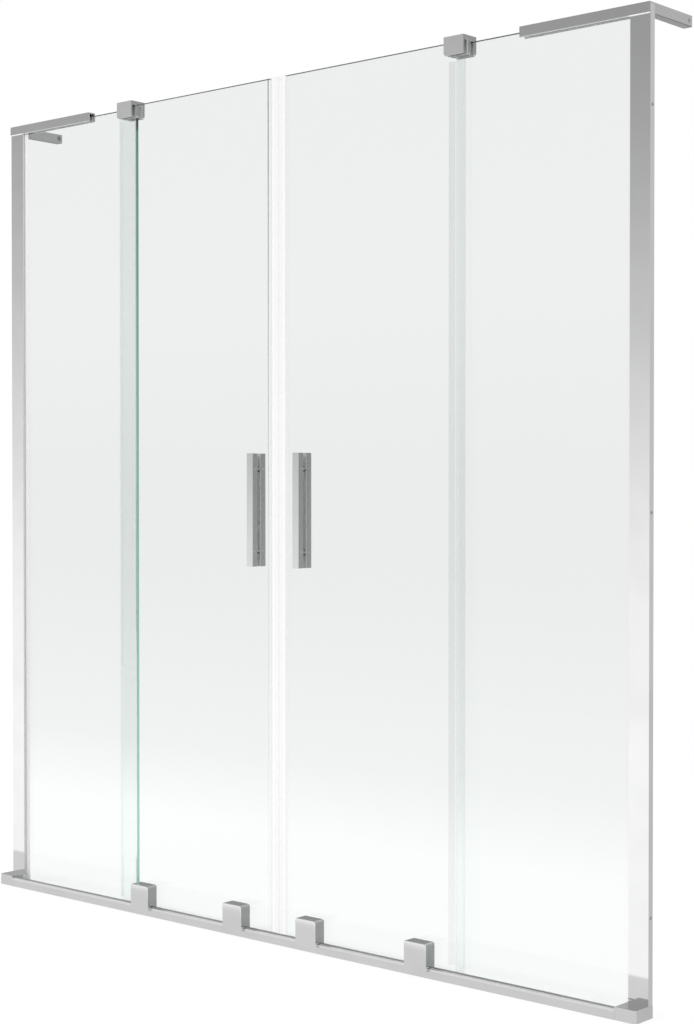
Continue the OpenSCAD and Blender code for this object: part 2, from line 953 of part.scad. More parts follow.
module clamp_sets_left() {
    color("silver") for (x = [-inner_x, -outer_x]) clamp_set(x);
}

bottom_rail();
rail_end_left();
rail_end_right();
rail_end_pins();
door_stops();
setting_blocks();
wall_profile_left();
wall_profile_right();
glazing_gasket_left();
glazing_gasket_right();
fixed_glass_left();
fixed_glass_right();
edge_seal_left();
edge_seal_right();
top_brace_left();
top_brace_right();
brace_pads();
brace_screws();
top_guide_left();
top_guide_right();
guide_liner_left();
guide_liner_right();
guide_pads();
guide_screws();
door_glass_left();
door_glass_right();
magnetic_seal_left();
magnetic_seal_right();
magnet_strip_left();
magnet_strip_right();
fin_seal_left();
fin_seal_right();
drip_seal_left();
drip_seal_right();
handle_front_left();
handle_front_right();
handle_back_left();
handle_back_right();
handle_studs_left();
handle_studs_right();
carriage_outer_left();
carriage_inner_left();
carriage_inner_right();
carriage_outer_right();
cover_outer_left();
cover_inner_left();
cover_inner_right();
cover_outer_right();
roller_outer_left();
roller_inner_left();
roller_inner_right();
roller_outer_right();
axles_left();
axles_right();
clamp_sets_left();
clamp_sets_right();
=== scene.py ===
# %% [markdown]
# # A sliding bath screen
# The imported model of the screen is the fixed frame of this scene. Every piece here is placed in that
# frame, in metres: X runs along the screen, Y goes over the bath, and Z is up from the bath's rim.

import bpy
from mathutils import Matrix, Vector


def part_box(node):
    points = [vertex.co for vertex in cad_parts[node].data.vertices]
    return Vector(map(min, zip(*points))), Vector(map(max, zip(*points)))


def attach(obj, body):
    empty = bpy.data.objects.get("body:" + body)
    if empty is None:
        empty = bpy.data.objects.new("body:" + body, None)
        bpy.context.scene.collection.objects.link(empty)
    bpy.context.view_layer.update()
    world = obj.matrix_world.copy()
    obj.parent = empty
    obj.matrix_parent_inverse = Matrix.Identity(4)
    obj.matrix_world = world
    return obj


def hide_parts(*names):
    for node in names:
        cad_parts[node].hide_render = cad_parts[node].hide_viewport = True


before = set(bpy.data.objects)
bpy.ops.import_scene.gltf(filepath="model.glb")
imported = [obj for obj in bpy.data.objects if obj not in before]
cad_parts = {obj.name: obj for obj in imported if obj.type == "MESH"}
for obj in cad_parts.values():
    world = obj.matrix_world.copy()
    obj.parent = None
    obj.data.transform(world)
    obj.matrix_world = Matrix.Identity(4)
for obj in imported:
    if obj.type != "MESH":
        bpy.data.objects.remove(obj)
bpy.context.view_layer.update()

# %% Tools of the trade
import math

import bmesh
import bpy
from mathutils import Vector

MM = 0.001
scene = bpy.context.scene

# %% [markdown]
# ## Camera
# The photograph was taken with a long lens from the right, at about half the screen's height. The place
# of the camera was worked out from the straight edges of the screen, which run to two vanishing points.

# %% Camera at the photograph's place
bpy.ops.object.camera_add(location=(2.2274, -2.3566, 0.7905))
camera = bpy.context.object
camera.name = "camera"
camera.rotation_euler = (math.radians(89.177), 0.0, math.radians(41.308))
camera.data.sensor_width = 36.0
camera.data.lens = 65.94
camera.data.clip_start = 0.05
camera.data.clip_end = 200.0
scene.camera = camera
scene.view_settings.view_transform = "Standard"
print("camera looks along", [round(v, 3) for v in camera.rotation_euler.to_matrix() @ Vector((0, 0, -1))])

# %% [markdown]
# ## Node helpers
# The world, the floor, the cards and every finish are node trees. These helpers add the nodes that they
# share. A source is a node's output socket, and stops are (position, linear colour) pairs.

# %% Small helpers for node trees
SCREEN_TOP = 1.5  # metres over which a finish changes with height
NOISE_LOW, NOISE_HIGH = 0.3, 0.7  # most values of a noise texture lie between these


def new_material(name):
    material = bpy.data.materials.new(name)
    material.use_nodes = True
    material.node_tree.nodes.clear()
    return material, material.node_tree


def add(tree, kind, **settings):
    node = tree.nodes.new(kind)
    for key, value in settings.items():
        setattr(node, key, value)
    return node


def join(tree, source, target):
    tree.links.new(source, target)


def show(tree, shader, kind="ShaderNodeOutputMaterial"):
    """Makes a shader the surface of its material or world."""
    join(tree, shader, add(tree, kind).inputs["Surface"])


def object_place(tree):
    """The point on the surface in the frame's metres: the vector, and its X, Y and Z sockets."""
    place = add(tree, "ShaderNodeTexCoord")
    split = add(tree, "ShaderNodeSeparateXYZ")
    join(tree, place.outputs["Object"], split.inputs[0])
    return place.outputs["Object"], split.outputs


def seen(tree):
    """1 for the rays that look, straight, by a mirror or through glass, and 0 for those that only light."""
    path = add(tree, "ShaderNodeLightPath")
    straight = add(tree, "ShaderNodeMath", operation="MAXIMUM")
    join(tree, path.outputs["Is Camera Ray"], straight.inputs[0])
    join(tree, path.outputs["Is Glossy Ray"], straight.inputs[1])
    every = add(tree, "ShaderNodeMath", operation="MAXIMUM")
    join(tree, straight.outputs[0], every.inputs[0])
    join(tree, path.outputs["Is Transmission Ray"], every.inputs[1])
    return every.outputs[0]


def mapped(tree, source, start, end, low=0.0, high=1.0):
    """Spreads a source that runs from start to end over low to high."""
    spread = add(tree, "ShaderNodeMapRange")
    for socket, value in (("From Min", start), ("From Max", end), ("To Min", low), ("To Max", high)):
        spread.inputs[socket].default_value = value
    join(tree, source, spread.inputs["Value"])
    return spread.outputs["Result"]


def ramp(tree, source, low, high, stops):
    """A colour ramp over a source from low to high."""
    band = add(tree, "ShaderNodeValToRGB")
    band.color_ramp.elements.remove(band.color_ramp.elements[1])
    for position, colour in stops[1:]:
        band.color_ramp.elements.new((position - low) / (high - low)).color = (*colour, 1.0)
    band.color_ramp.elements[0].position = (stops[0][0] - low) / (high - low)
    band.color_ramp.elements[0].color = (*stops[0][1], 1.0)
    join(tree, mapped(tree, source, low, high), band.inputs["Fac"])
    return band.outputs["Color"]


def by_height(tree, where, stops):
    return ramp(tree, where["Z"], 0.0, SCREEN_TOP, stops)


def blended(tree, share, one, two):
    """Passes over from colour one to colour two; a colour is a socket or three linear values."""
    blend = add(tree, "ShaderNodeMixRGB")
    join(tree, share, blend.inputs["Fac"])
    for colour, socket in ((one, blend.inputs["Color1"]), (two, blend.inputs["Color2"])):
        if isinstance(colour, tuple):
            socket.default_value = (*colour, 1)
        else:
            join(tree, colour, socket)
    return blend.outputs["Color"]


def mixed(tree, share, one, two):
    """Passes over from shader one to shader two; the share is a socket or a number."""
    mix = add(tree, "ShaderNodeMixShader")
    if isinstance(share, float):
        mix.inputs["Fac"].default_value = share
    else:
        join(tree, share, mix.inputs["Fac"])
    join(tree, one, mix.inputs[1])
    join(tree, two, mix.inputs[2])
    return mix.outputs[0]


def noise(tree, place, size, detail=2.0):
    texture = add(tree, "ShaderNodeTexNoise")
    texture.inputs["Scale"].default_value = size
    texture.inputs["Detail"].default_value = detail
    join(tree, place, texture.inputs["Vector"])
    return texture.outputs["Fac"]


def bumped(tree, height, strength, distance):
    bump = add(tree, "ShaderNodeBump")
    bump.inputs["Strength"].default_value = strength
    bump.inputs["Distance"].default_value = distance
    join(tree, height, bump.inputs["Height"])
    return bump.outputs["Normal"]


def grey(level):
    """A linear grey from a tone between 0 and 255 as a screen shows it."""
    tone = level / 255
    value = tone / 12.92 if tone <= 0.04045 else ((tone + 0.055) / 1.055) ** 2.4
    return (value, value, value)


def tint(red, green, blue):
    return (grey(red)[0], grey(green)[0], grey(blue)[0])


# %% [markdown]
# ## Studio
# A product picture of glass and polished metal is mostly a picture of what they mirror. The world is plain
# white, the floor is a pale sheet that keeps a soft shadow, and tall cards, which only mirrors see, give
# the metal its slow fade from dark at the top to light at the foot.

# %% White world
world = bpy.data.worlds.new("studio")
scene.world = world
world.use_nodes = True
tree = world.node_tree
tree.nodes.clear()
lit = add(tree, "ShaderNodeBackground")
lit.inputs["Color"].default_value = (1, 1, 1, 1)
lit.inputs["Strength"].default_value = 0.75
white = add(tree, "ShaderNodeBackground")
white.inputs["Color"].default_value = (1, 1, 1, 1)
white.inputs["Strength"].default_value = 1.0
show(tree, mixed(tree, seen(tree), lit.outputs[0], white.outputs[0]), "ShaderNodeOutputWorld")
scene.cycles.transparent_max_bounces = 64

# %% Soft lamp above the front
bpy.ops.object.light_add(type="AREA", location=(-1.2, -2.6, 3.4))
lamp = bpy.context.object
lamp.name = "soft_lamp"
lamp.data.shape = "RECTANGLE"
lamp.data.size = 2.6
lamp.data.size_y = 2.0
lamp.data.energy = 45.0
lamp.rotation_euler = (Vector((0, 0, 0.7)) - lamp.location).to_track_quat("-Z", "Y").to_euler()
lamp.visible_glossy = False
print("lamp at", [round(v, 2) for v in lamp.location])

# %% [markdown]
# The floor is a wide plain sheet. Its own glow makes it white to the eye and in mirrors, and the part of it
# that is lit keeps the soft shadow where the rail stands on it.

# %% Floor
bpy.ops.mesh.primitive_plane_add(size=60, location=(0, 0, -0.0005))
floor = bpy.context.object
floor.name = "floor"
floor_finish, tree = new_material("floor_paper")
paper = add(tree, "ShaderNodeBsdfDiffuse")
paper.inputs["Color"].default_value = (0.8, 0.8, 0.8, 1)
shade = add(tree, "ShaderNodeBsdfDiffuse")
shade.inputs["Color"].default_value = (0.15, 0.15, 0.15, 1)
glow = add(tree, "ShaderNodeEmission")
glow.inputs["Strength"].default_value = 0.885
both = add(tree, "ShaderNodeAddShader")
join(tree, shade.outputs[0], both.inputs[0])
join(tree, glow.outputs[0], both.inputs[1])
show(tree, mixed(tree, seen(tree), paper.outputs[0], both.outputs[0]))
floor.data.materials.append(floor_finish)
print("floor", [round(v) for v in floor.dimensions])

# %% [markdown]
# Metal near the floor mirrors the floor beside it. In the photograph those mirror pictures are grey: lighter in
# front of the rail, darker behind it, and in between past the right end. Cards on the floor, and tall ones
# round the screen, give each side of the metal the tone that it has there. Only mirrors see them.


# %% Cards that only mirrors see
def greys(stops):
    return [(height, (level, level, level)) for height, level in stops]


def glowing(card, top, stops, far_stops=None, near_x=0.0, far_x=0.0):
    """Lets a card glow by height up to top, and pass over to far_stops from near_x to far_x."""
    for way in ("camera", "diffuse", "transmission", "volume_scatter", "shadow"):
        setattr(card, "visible_" + way, False)
    finish, tree = new_material(card.name + "_glow")
    _, where = object_place(tree)
    light = add(tree, "ShaderNodeEmission")
    tone = ramp(tree, where["Z"], 0.0, top, greys(stops))
    if far_stops:
        far_tone = ramp(tree, where["Z"], 0.0, top, greys(far_stops))
        tone = blended(tree, mapped(tree, where["X"], near_x, far_x), tone, far_tone)
    join(tree, tone, light.inputs["Color"])
    show(tree, light.outputs[0])
    card.data.materials.append(finish)


def placed_card(name, middle, size, turn=(0, 0, 0)):
    """A plane of a size, turned and laid at its middle, with its place and turn applied."""
    bpy.ops.mesh.primitive_plane_add(size=1, location=middle)
    card = bpy.context.object
    card.name = name
    card.rotation_euler = turn
    card.scale = (*size, 1)
    bpy.ops.object.transform_apply(location=True, rotation=True, scale=True)
    return card


def floor_card(name, low, high, level):
    """A card that lies just above the floor between two corners."""
    middle = ((low[0] + high[0]) / 2, (low[1] + high[1]) / 2, -0.0002)
    card = placed_card(name, middle, (high[0] - low[0], high[1] - low[1]))
    glowing(card, 1.0, [(0.0, level), (1.0, level)])


def mirror_card(name, start, end, top, stops, **more):
    """A card that stands on the floor between two points and glows by height."""
    (x0, y0), (x1, y1) = start, end
    turn = (math.radians(90), 0, math.atan2(y1 - y0, x1 - x0))
    card = placed_card(name, ((x0 + x1) / 2, (y0 + y1) / 2, top / 2), (math.hypot(x1 - x0, y1 - y0), top), turn)
    glowing(card, top, stops, **more)


floor_card("floor_card_front", (-1.5, -0.19), (1.2, -0.02), 0.70)
floor_card("floor_card_back", (-0.8, -0.02), (0.72, 0.9), 0.34)
floor_card("floor_card_end", (0.72, -0.02), (3.2, 4.5), 0.56)
mirror_card("card_front", (-12.0, -3.0), (1.5, -3.0), 6.0, [
    (0.0, 1.0), (0.39, 0.97), (0.74, 0.87), (1.06, 0.74), (1.39, 0.60), (1.75, 0.483), (2.11, 0.385),
    (2.39, 0.348), (6.0, 0.3)], far_stops=[
    (0.0, 1.0), (0.39, 0.97), (0.72, 0.865), (1.06, 0.77), (1.39, 0.68), (1.72, 0.57), (2.08, 0.483),
    (2.4, 0.42), (6.0, 0.38)], near_x=-1.2, far_x=-4.4)
mirror_card("card_right", (3.2, -3.0), (3.2, 3.2), 6.0, [(0.0, 0.56), (0.9, 0.54), (2.2, 0.38), (6.0, 0.36)])
mirror_card("card_right_middle", (3.2, 3.2), (3.2, 3.72), 6.0, [(0.0, 0.33), (6.0, 0.33)])
mirror_card("card_right_far", (3.2, 3.72), (3.2, 9.0), 6.0, [(0.0, 0.58), (6.0, 0.58)])
mirror_card("card_back_far", (-9.0, 3.0), (-4.1, 3.0), 8.0, [(0.0, 0.42), (0.7, 0.42), (0.85, 0.68), (8.0, 0.6)])
mirror_card("card_back_left", (-4.1, 3.0), (-1.5, 3.0), 8.0, [(0.0, 0.42), (0.7, 0.42), (0.9, 0.36), (8.0, 0.34)])
mirror_card("card_back_right", (-1.5, 3.0), (1.0, 3.0), 8.0, [(0.0, 0.42), (0.7, 0.42), (0.85, 1.0), (8.0, 0.9)])

# %% [markdown]
# ## Finishes
# Each finish is a small node tree on Object coordinates, which are the frame's metres. So a pattern has
# its true size, and does not slide when a door moves.


# %% Ways to say where a second tone takes over
def between(axis, start, end):
    """None of it at start, all of it at end, along one axis."""
    return lambda tree, where: mapped(tree, where[axis], start, end)


def outside(axis, start, end):
    """As between, but measured outwards from the middle of the screen on both sides."""
    def share(tree, where):
        far = add(tree, "ShaderNodeMath", operation="ABSOLUTE")
        join(tree, where[axis], far.inputs[0])
        return mapped(tree, far.outputs[0], start, end)
    return share


def both_of(one, two):
    """Where one and the other take over together."""
    def share(tree, where):
        product = add(tree, "ShaderNodeMath", operation="MULTIPLY")
        join(tree, one(tree, where), product.inputs[0])
        join(tree, two(tree, where), product.inputs[1])
        return product.outputs[0]
    return share


# %% Polished and satin metal
DRAWN_X, DRAWN_Y, DRAWN_Z = (0.02, 1, 1), (1, 0.02, 1), (1, 1, 0.02)


def metal(name, tone, rough, grain=(1, 1, 1), grain_size=900.0, relief=0.02, other=None, where_other=None):
    """Metal with a tone, a slightly uneven sheen, and fine lines along the axis where grain is small."""
    finish, tree = new_material(name)
    place, where = object_place(tree)
    stretch = add(tree, "ShaderNodeMapping")
    stretch.inputs["Scale"].default_value = grain
    join(tree, place, stretch.inputs["Vector"])
    lines = noise(tree, stretch.outputs[0], grain_size, detail=3.0)
    clouds = noise(tree, place, 14.0)
    low, high = [c * 0.97 for c in tone], [min(1.0, c * 1.02) for c in tone]
    shine = ramp(tree, clouds, NOISE_LOW, NOISE_HIGH, [(NOISE_LOW, low), (NOISE_HIGH, high)])
    if other:
        shine = blended(tree, where_other(tree, where), shine, other)
    skin = add(tree, "ShaderNodeBsdfPrincipled")
    skin.inputs["Metallic"].default_value = 1.0
    sheen = mapped(tree, lines, NOISE_LOW, NOISE_HIGH, rough * 0.85, rough * 1.2)
    join(tree, shine, skin.inputs["Base Color"])
    join(tree, sheen, skin.inputs["Roughness"])
    join(tree, bumped(tree, lines, relief, 0.2 * MM), skin.inputs["Normal"])
    show(tree, skin.outputs[0])
    return finish


# Satin rail metal with a painted highlight: from 11.5 mm up its tone turns lighter, so the top of the lip's front
# shows a light band.
satin_rail_painted_highlight = metal(
    "satin_rail_painted_highlight", grey(236), 0.22, DRAWN_X, other=grey(252), where_other=between("Z", 0.0115, 0.0145))
# Painted dark reflection: a dark tone for the bead on the rail's crest.
crest_painted_dark_reflection = metal("crest_painted_dark_reflection", grey(152), 0.3, DRAWN_X)
polished_profile = metal("polished_profile", grey(242), 0.06, DRAWN_Z)
polished_brace = metal("polished_brace", grey(236), 0.14, DRAWN_X)
# Painted shade and highlight on the brace's front chamfer: darker along most of its length, and white beyond
# 0.704 m from the middle, over the wall ends.
brace_chamfer = metal(
    "brace_chamfer", grey(200), 0.2, DRAWN_X, other=grey(255), where_other=outside("X", 0.700, 0.704))
# Painted shade on the chamfer under the brace's leg.
leg_chamfer_painted_shade = metal("leg_chamfer_painted_shade", grey(165), 0.2, DRAWN_Y)
# Painted light and shade on the brace's leg: its inner face is lighter and its outer face darker than the brace.
leg_inner_painted_light = metal("leg_inner_painted_light", grey(252), 0.14, DRAWN_Y)
leg_outer_painted_shade = metal("leg_outer_painted_shade", grey(226), 0.14, DRAWN_Y)
# Painted light inside the brace's channel: a pale, rough tone where shade falls.
brace_inside_painted_light = metal("brace_inside_painted_light", grey(250), 0.5, relief=0.01)
bright_block = metal("bright_block", grey(249), 0.36, relief=0.01)
# Painted shade on the top guides: their ends are darker, and their undersides darker still.
block_side_painted_shade = metal("block_side_painted_shade", grey(204), 0.36, relief=0.01)
block_under_painted_shade = metal("block_under_painted_shade", grey(161), 0.36, relief=0.01)
bright_cover = metal("bright_cover", grey(238), 0.12, relief=0.01)
# Painted shade: the tops of the roller covers are darker than their fronts.
cover_top = metal("cover_top", grey(203), 0.12, relief=0.01)
# Painted reflection on the handle bars: their tone turns darker from 0.70 m to 0.88 m up, so they darken towards
# the top.
bright_handle = metal(
    "bright_handle", grey(223), 0.14, grain=(1, 1, 0.05), grain_size=2600.0, relief=0.003,
    other=grey(207), where_other=between("Z", 0.70, 0.88))
bright_end = metal("bright_end", grey(236), 0.14, relief=0.01)
# Painted shade on the tops of the rail's end blocks: much darker than their sides, and a little lighter on the
# left block than on the right.
end_top_painted_shade = metal(
    "end_top_painted_shade", grey(144), 0.1, relief=0.01, other=grey(158), where_other=between("X", 0.1, -0.1))
brushed_steel = metal("brushed_steel", grey(190), 0.28, relief=0.05)
pale_steel = metal("pale_steel", grey(225), 0.35, relief=0.02)
# Painted shade in the counterbore of the brace's leg.
bore_painted_shade = metal("bore_painted_shade", grey(96), 0.4, relief=0.02)
print("metals:", [m.name for m in bpy.data.materials if "glow" not in m.name])


# %% Rubber, nylon and moulded plastic
def moulded(name, tone, rough, relief=0.05):
    """A plain moulding with a fine skin texture and slightly clouded tone."""
    finish, tree = new_material(name)
    place, _ = object_place(tree)
    speckle = noise(tree, place, 400.0)
    low, high = [c * 0.9 for c in tone], [min(1.0, c * 1.08) for c in tone]
    colour = ramp(tree, speckle, NOISE_LOW, NOISE_HIGH, [(NOISE_LOW, low), (NOISE_HIGH, high)])
    skin = add(tree, "ShaderNodeBsdfPrincipled")
    skin.inputs["Roughness"].default_value = rough
    join(tree, colour, skin.inputs["Base Color"])
    join(tree, bumped(tree, speckle, relief, 0.3 * MM), skin.inputs["Normal"])
    show(tree, skin.outputs[0])
    return finish


black_rubber = moulded("black_rubber", grey(62), 0.7)
# Painted light: a pale diffuse tone on the inner faces of slots and channels, where shade falls.
recess_painted_light = moulded("recess_painted_light", grey(250), 0.5, relief=0.02)
grey_nylon = moulded("grey_nylon", grey(205), 0.4, relief=0.03)
# A pale pad tone on the bar's face against the glass, made light as painted light in the shaded gap.
handle_pad = moulded("handle_pad", grey(224), 0.4, relief=0.03)
dark_moulding = moulded("dark_moulding", grey(84), 0.45)
print("mouldings:", [f.name for f in (black_rubber, recess_painted_light, grey_nylon, handle_pad, dark_moulding)])

# %% [markdown]
# ## Glass
# A pane of float glass shows almost nothing on its faces and everything on its edges: light that runs inside
# the pane comes out there, green from the iron in it. So a pane gets a faint finish for the two faces and
# another for the ground edges, which is sea-green where the photograph looks at one along the pane.


# %% Clear finishes
def evenly(colour):
    """The same colour from the foot of the screen to its top."""
    return [(0.0, colour), (SCREEN_TOP, colour)]


def see_through(name, clear, base=0.04, rough=0.02, gloss=255, body=None, body_share=0.0, body_where=None,
                line=None, line_where=None):
    """A clear sheet: light passes it with a tint, and a little is mirrored, more at a slant.

    The tints of clear and line and the milky body are stops by height. A line takes the tint's place, and
    the body adds its share, where their functions say."""
    finish, tree = new_material(name)
    _, where = object_place(tree)
    passing = add(tree, "ShaderNodeBsdfTransparent")
    tone = by_height(tree, where, clear)
    if line:
        tone = blended(tree, line_where(tree, where), tone, by_height(tree, where, line))
    join(tree, tone, passing.inputs["Color"])
    shining = add(tree, "ShaderNodeBsdfPrincipled")
    shining.inputs["Metallic"].default_value = 1.0
    shining.inputs["Roughness"].default_value = rough
    shining.inputs["Base Color"].default_value = (*grey(gloss), 1)
    slant = add(tree, "ShaderNodeLayerWeight")
    slant.inputs["Blend"].default_value = 0.5
    steep = add(tree, "ShaderNodeMath", operation="POWER")
    steep.inputs[1].default_value = 5.0
    join(tree, slant.outputs["Facing"], steep.inputs[0])
    share = add(tree, "ShaderNodeMath", operation="MULTIPLY_ADD")
    share.inputs[1].default_value = 1.0 - base
    share.inputs[2].default_value = base
    join(tree, steep.outputs[0], share.inputs[0])
    sheet = mixed(tree, share.outputs[0], passing.outputs[0], shining.outputs[0])
    if body:
        milk = add(tree, "ShaderNodeBsdfDiffuse")
        join(tree, by_height(tree, where, body), milk.inputs["Color"])
        if body_where:
            part = add(tree, "ShaderNodeMath", operation="MULTIPLY")
            part.inputs[1].default_value = body_share
            join(tree, body_where(tree, where), part.inputs[0])
            body_share = part.outputs[0]
        sheet = mixed(tree, body_share, sheet, milk.outputs[0])
    show(tree, sheet)
    return finish


def passed(level, mirrored):
    """The tint of one of a pane's two faces, for a pane that shows white as level."""
    behind, red, blue = 0.915, 0.986, 0.9955
    share = ((grey(level)[0] - mirrored) / behind) ** 0.5
    return (share * red, min(1.0, share), share * blue)


# The panes' tint by height: the green of the glass, with a painted reflection that makes them darker towards the
# top and nearly white at the foot.
pane_tint_and_painted_reflection = [
    (0.0, passed(252, 0.075)), (0.19, passed(252, 0.075)), (0.32, passed(242, 0.075)),
    (0.62, passed(237, 0.07)), (0.8, passed(236, 0.06)), (1.1, passed(239, 0.04)), (1.5, passed(239, 0.03))]
pane_face = see_through("pane_face", pane_tint_and_painted_reflection)
# Painted light: near the wall the left fixed pane's front face gets a milky white body, which lightens the shaded
# channel seen through it.
painted_light_by_wall = both_of(outside("X", 0.69, 0.692), between("Y", 0.0165, 0.0155))
pane_face_left_painted_light = see_through(
    "pane_face_left_painted_light", pane_tint_and_painted_reflection, body=evenly(grey(255)), body_share=0.85, body_where=painted_light_by_wall)
clear = evenly(grey(255))
faintly_pale = {"body": evenly(grey(250)), "body_share": 0.01}
pale_edge = see_through(
    "pale_edge", [(0.0, tint(252, 254, 253)), (1.5, tint(250, 253, 252))], base=0.02, rough=0.15,
    body=[(0.0, tint(214, 226, 222)), (1.5, tint(210, 222, 218))], body_share=0.04)
clear_strip = see_through("clear_strip", clear, base=0.01, rough=0.08, **faintly_pale)
# Painted light: the left glazing gasket gets a pale milky body, while the right one stays clear.
pale_strip_painted_light = see_through(
    "pale_strip_painted_light", clear, base=0.01, rough=0.2, body=[(0.0, grey(232)), (1.5, grey(222))], body_share=0.75)
# Painted reflection: a thin line at the front corner of the left magnetic seal, darker towards the top.
clip_corner_painted_reflection = both_of(between("X", -0.0206, -0.0208), between("X", -0.0221, -0.0219))
clip_strip_painted_reflection = see_through(
    "clip_strip_painted_reflection", clear, base=0.01, rough=0.08, **faintly_pale,
    line=[(0.0, grey(252)), (0.7, grey(244)), (0.9, grey(225)), (1.2, grey(190)), (1.5, grey(150))],
    line_where=both_of(clip_corner_painted_reflection, between("Y", -0.0034, -0.0035)))
smoky_strip = see_through(
    "smoky_strip", clear, base=0.02, rough=0.08, **faintly_pale,
    line=[(0.0, grey(251)), (0.3, grey(248)), (1.5, grey(246))], line_where=outside("X", 0.3772, 0.3768))
magnet_tape = see_through("magnet_tape", clear, base=0.01, rough=0.5, gloss=250, **faintly_pale)
print("clear finishes:", [f.name for f in (
    pane_face, pane_face_left_painted_light, pale_edge, clear_strip, pale_strip_painted_light, clip_strip_painted_reflection, smoky_strip, magnet_tape)])


# %% Ground edges
def edge_finish(name, stops, rough=0.2):
    """A ground edge: a tone by height, with a fine unevenness in its sheen."""
    finish, tree = new_material(name)
    place, where = object_place(tree)
    skin = add(tree, "ShaderNodeBsdfPrincipled")
    worn = mapped(tree, noise(tree, place, 600.0), 0.0, 1.0, rough * 0.6, rough * 1.6)
    join(tree, by_height(tree, where, stops), skin.inputs["Base Color"])
    join(tree, worn, skin.inputs["Roughness"])
    show(tree, skin.outputs[0])
    return finish


# The edge's tone by height is painted light and shade: brightest low down, darker towards the top, darker at the
# foot, and nearly black above 1.455 m, a painted shade at the top.
green_edge_painted_light = edge_finish("green_edge_painted_light", [
    (0.0, (0.30, 0.55, 0.47)), (0.075, (0.50, 1.0, 0.86)), (0.2, (0.50, 1.0, 0.86)),
    (0.76, (0.31, 0.87, 0.67)), (1.32, (0.15, 0.50, 0.35)), (1.448, (0.12, 0.42, 0.30)),
    (1.455, (0.02, 0.06, 0.045)), (1.5, (0.02, 0.06, 0.045))])
# Painted shade on the panes' top edges: a dark grey.
top_edge_painted_shade = edge_finish("top_edge_painted_shade", [(0.0, grey(110)), (1.5, grey(96))])
print("edges:", green_edge_painted_light.name, top_edge_painted_shade.name)

# %% [markdown]
# ## Ways of modelling
# All pieces start as a primitive and are shaped in edit mode. The helpers below pick edges and faces by
# their place, as a hand would with the mouse.

# %% Edit helpers
def deselect():
    if bpy.context.mode != "OBJECT":
        bpy.ops.object.mode_set(mode="OBJECT")
    bpy.ops.object.select_all(action="DESELECT")


def take(piece):
    deselect()
    piece.select_set(True)
    bpy.context.view_layer.objects.active = piece


def edit(piece, kind="EDGE"):
    take(piece)
    bpy.ops.object.mode_set(mode="EDIT")
    bpy.ops.mesh.select_mode(type=kind)
    bpy.ops.mesh.select_all(action="DESELECT")


def leave():
    bpy.ops.object.mode_set(mode="OBJECT")


def pick_edges(test):
    """Selects the edges whose middle and direction pass the test."""
    cage = bmesh.from_edit_mesh(bpy.context.object.data)
    for edge in cage.edges:
        a, b = edge.verts[0].co, edge.verts[1].co
        if test((a + b) / 2, (b - a).normalized()):
            edge.select_set(True)
    bmesh.update_edit_mesh(bpy.context.object.data)


def pick_faces(test):
    """Selects the faces whose middle and normal pass the test."""
    cage = bmesh.from_edit_mesh(bpy.context.object.data)
    cage.normal_update()
    for face in cage.faces:
        if test(face.calc_center_median(), face.normal):
            face.select_set(True)
    bmesh.update_edit_mesh(bpy.context.object.data)


def block(name, low, high):
    """A box between two corners, in millimetres, as a cube primitive at its size and place."""
    deselect()
    low, high = Vector(low) * MM, Vector(high) * MM
    bpy.ops.mesh.primitive_cube_add(size=1, location=(low + high) / 2, scale=high - low)
    piece = bpy.context.object
    piece.name = name
    bpy.ops.object.transform_apply(location=True, rotation=False, scale=True)
    return piece


def section(name, points, start, length, plane="YZ"):
    """A closed outline drawn by pulling one vertex along it, then filled and pulled out to its length."""
    deselect()
    make = {"YZ": lambda p: Vector((start, p[0], p[1])), "XY": lambda p: Vector((p[0], p[1], start)),
            "XZ": lambda p: Vector((p[0], start, p[1]))}[plane]
    way = {"YZ": Vector((1, 0, 0)), "XY": Vector((0, 0, 1)), "XZ": Vector((0, 1, 0))}[plane]
    bpy.ops.mesh.primitive_plane_add(size=0.001, location=(0, 0, 0))
    piece = bpy.context.object
    piece.name = name
    bpy.ops.object.mode_set(mode="EDIT")
    bpy.ops.mesh.select_mode(type="VERT")
    bpy.ops.mesh.select_all(action="SELECT")
    bpy.ops.mesh.merge(type="CENTER")
    bpy.ops.transform.translate(value=make(points[0]) * MM)
    for a, b in zip(points, points[1:] + points[:1]):
        step = (make(b) - make(a)) * MM
        bpy.ops.mesh.extrude_vertices_move(TRANSFORM_OT_translate={"value": step})
    bpy.ops.mesh.select_all(action="SELECT")
    bpy.ops.mesh.remove_doubles(threshold=1e-6)
    bpy.ops.mesh.edge_face_add()
    bpy.ops.mesh.extrude_region_move(TRANSFORM_OT_translate={"value": way * length * MM})
    bpy.ops.mesh.select_all(action="SELECT")
    bpy.ops.mesh.normals_make_consistent(inside=False)
    leave()
    return piece


def arc(centre, radius, start, end, steps):
    """Points of an arc, in degrees, for a section."""
    spread = [math.radians(start + (end - start) * i / steps) for i in range(steps + 1)]
    return [(centre[0] + radius * math.cos(a), centre[1] + radius * math.sin(a)) for a in spread]


def drill(piece, cutters):
    """Cuts the cutters out of a piece and removes them."""
    for cutter in cutters:
        take(piece)
        cut = piece.modifiers.new("cut", "BOOLEAN")
        cut.operation = "DIFFERENCE"
        cut.object = cutter
        cut.solver = "EXACT"
        bpy.ops.object.modifier_apply(modifier="cut")
        bpy.data.objects.remove(cutter)


